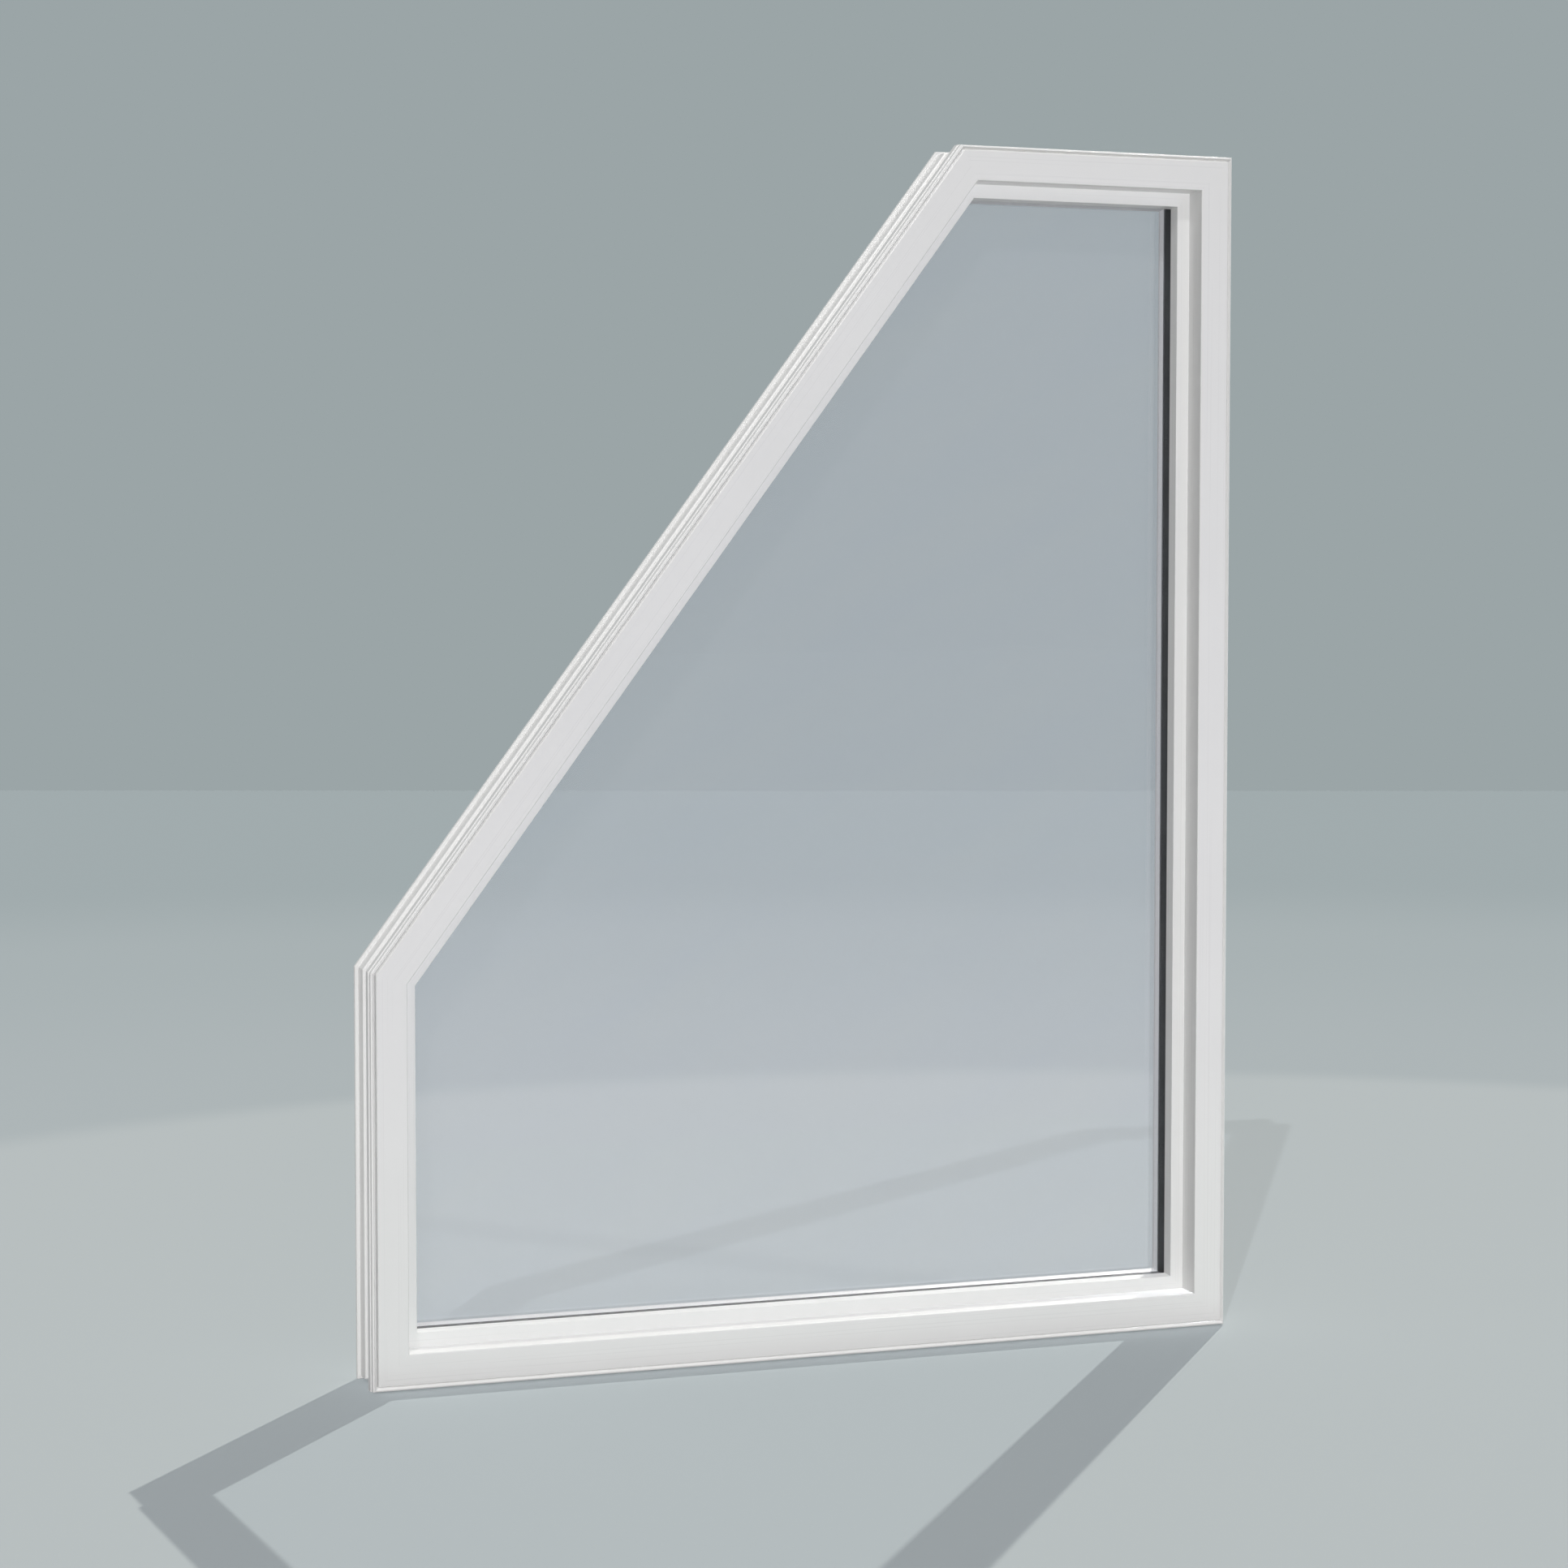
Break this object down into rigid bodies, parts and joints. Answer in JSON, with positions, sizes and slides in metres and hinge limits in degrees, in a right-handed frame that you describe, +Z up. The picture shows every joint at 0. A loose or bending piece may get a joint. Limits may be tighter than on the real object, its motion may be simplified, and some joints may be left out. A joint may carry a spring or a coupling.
{
  "type": "polygon window",
  "caption": "Fixed five-sided window with one sloping upper side: hollow white plastic frame with a deep outer reveal, clipped beads and a sealed double glazed unit.",
  "frame": {"origin": "underside of the sill's front flange, at mid width and mid depth of that flange", "axes": "+X to the right seen from outside, +Y into the wall, +Z up; the weather side faces -Y"},
  "size_m": [1.143, 0.09, 1.524],
  "materials": {
    "frame_vinyl": "smooth white extruded plastic, low sheen",
    "bead_vinyl": "smooth white extruded plastic, low sheen",
    "black_seal": "black co-extruded seal",
    "spacer": "matt black warm-edge spacer",
    "sealant": "dark cured sealant",
    "glazing_tape": "black closed-cell foam tape",
    "clear_glass": "clear float glass with a faint cool tint",
    "block_rubber": "black setting block"
  },
  "bodies": {
    "root": {"frame_sill": "frame_vinyl", "frame_right_jamb": "frame_vinyl", "frame_head": "frame_vinyl", "frame_sloping_head": "frame_vinyl", "frame_left_jamb": "frame_vinyl", "bead_sill": "bead_vinyl", "bead_right_jamb": "bead_vinyl", "bead_head": "bead_vinyl", "bead_sloping_head": "bead_vinyl", "bead_left_jamb": "bead_vinyl", "bead_seal_sill": "black_seal", "bead_seal_right_jamb": "black_seal", "bead_seal_head": "black_seal", "bead_seal_sloping_head": "black_seal", "bead_seal_left_jamb": "black_seal", "spacer_sill": "spacer", "spacer_right_jamb": "spacer", "spacer_head": "spacer", "spacer_sloping_head": "spacer", "spacer_left_jamb": "spacer", "edge_sealant_sill": "sealant", "edge_sealant_right_jamb": "sealant", "edge_sealant_head": "sealant", "edge_sealant_sloping_head": "sealant", "edge_sealant_left_jamb": "sealant", "glazing_tape_sill": "glazing_tape", "glazing_tape_right_jamb": "glazing_tape", "glazing_tape_head": "glazing_tape", "glazing_tape_sloping_head": "glazing_tape", "glazing_tape_left_jamb": "glazing_tape", "outer_pane": "clear_glass", "inner_pane": "clear_glass", "setting_blocks": "block_rubber"}
  },
  "joints": []
}
